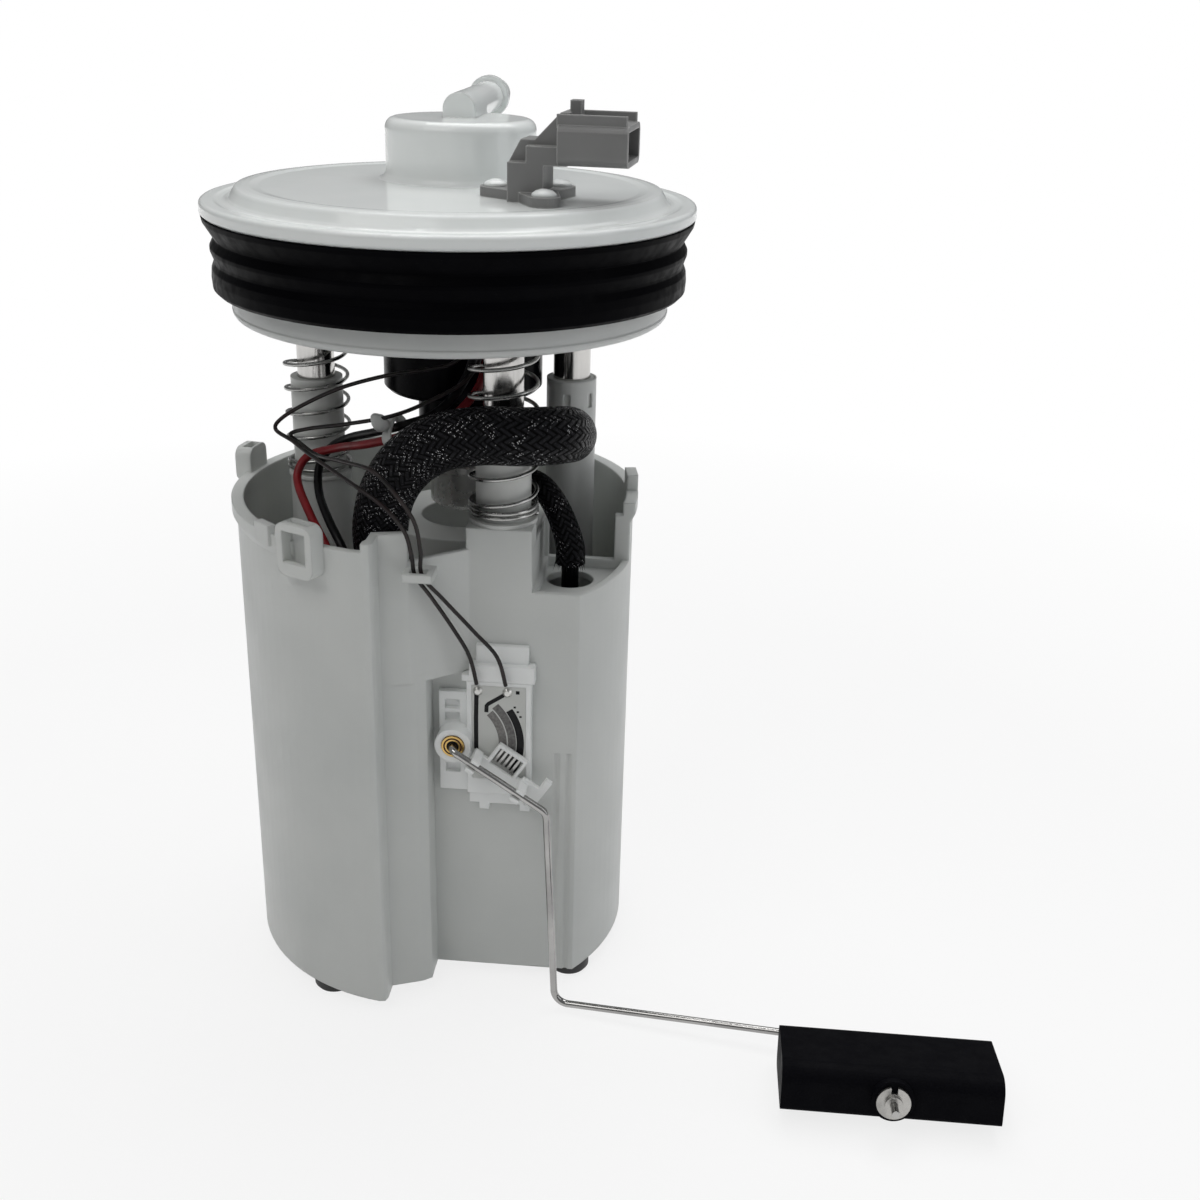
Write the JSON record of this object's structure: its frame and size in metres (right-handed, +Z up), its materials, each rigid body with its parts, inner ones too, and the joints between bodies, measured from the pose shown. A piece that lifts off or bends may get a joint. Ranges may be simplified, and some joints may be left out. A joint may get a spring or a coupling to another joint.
{
  "type": "in-tank fuel pump module",
  "caption": "In-tank fuel pump module: ribbed-seal flange on sprung guide rods over a plastic reservoir, with braided hoses and a float-arm level sender.",
  "frame": {"origin": "on the flange axis, in the plane that the feet stand on", "axes": "+Z up along the guide rods, -Y is the side with the level sender, +X is the side of the float"},
  "size_m": [0.2399, 0.1885, 0.2691],
  "materials": {
    "natural_plastic": "unpigmented, slightly translucent",
    "white_plastic": "unpigmented white, satin",
    "flange_plastic": "white, glossy",
    "grey_plastic": "grey, satin",
    "black_plastic": "black, satin",
    "gloss_black_plastic": "black, glossy",
    "black_rubber": "moulded rubber",
    "steel": "drawn, bright",
    "zinc": "tin and zinc plated",
    "brass": "turned",
    "card_ceramic": "white alumina with printed tracks",
    "filter_fabric": "non-woven",
    "filter_paper": "pleated",
    "black_braid": "braided sleeve over a hose",
    "red_insulation": "extruded, satin",
    "black_insulation": "extruded, satin",
    "tie_plastic": "light grey nylon",
    "float_foam": "closed-cell nitrile foam, matte"
  },
  "bodies": {
    "reservoir": {"reservoir_canister": "natural_plastic", "reservoir_feet": "black_rubber", "inlet_valve": "black_rubber", "guide_sleeve_left": "white_plastic", "guide_sleeve_front": "white_plastic", "guide_sleeve_rear": "white_plastic", "pump_cradle": "natural_plastic", "pump_case": "steel", "pump_inlet_cap": "grey_plastic", "pump_outlet_cap": "grey_plastic", "pump_terminals": "brass", "strainer_sock": "filter_fabric", "jet_pump": "grey_plastic", "jet_tube": "black_plastic", "sender_bracket": "white_plastic", "sender_card": "card_ceramic", "solder_joints": "zinc", "pivot_bush": "brass"},
    "flange": {"flange_cover": "flange_plastic", "lower_cup": "white_plastic", "tank_seal": "black_rubber", "connector_housing": "grey_plastic", "connector_terminals": "zinc", "stake_heads": "flange_plastic", "filter_housing": "gloss_black_plastic", "filter_element": "filter_paper", "regulator_can": "steel", "regulator_seal": "black_rubber", "guide_rod_left": "steel", "guide_rod_front": "steel", "guide_rod_rear": "steel", "rod_clips": "steel", "spring_left": "steel", "spring_front": "steel", "large_hose": "black_braid", "small_hose": "black_braid", "pump_wire_red": "red_insulation", "pump_wire_black": "black_insulation", "sender_wire_left": "black_insulation", "sender_wire_right": "black_insulation", "cable_tie": "tie_plastic"},
    "float_arm": {"float_arm_wire": "steel", "sender_lever": "white_plastic", "wiper_contact": "steel", "push_nut": "zinc"},
    "float": {"float_block": "float_foam"},
    "pump_rotor": {"pump_armature": "steel", "pump_impeller": "grey_plastic"}
  },
  "joints": [
    {"name": "flange_slide", "type": "slide", "parent": "reservoir", "child": "flange", "axis": [0, 0, 1], "range_m": [-0.022, 0], "stiffness_N_per_m": 500, "springref_m": 0.03, "deforming": ["spring_left", "spring_front", "large_hose", "small_hose", "pump_wire_red", "pump_wire_black", "sender_wire_left", "sender_wire_right", "cable_tie"]},
    {"name": "float_arm_hinge", "type": "hinge", "parent": "reservoir", "child": "float_arm", "pos_m": [0.0063, -0.0405, 0.0872], "axis": [0, -1, 0], "range_deg": [0, 62]},
    {"name": "float_swivel", "type": "hinge", "parent": "float_arm", "child": "float", "pos_m": [0.13845, -0.08083, 0.00971], "axis": [0, -0.9848, 0.1736], "range_deg": [-75, 10]},
    {"name": "pump_spin", "type": "hinge", "parent": "reservoir", "child": "pump_rotor", "pos_m": [-0.015, -0.014, 0.06], "axis": [0, 0, 1], "continuous": true}
  ]
}
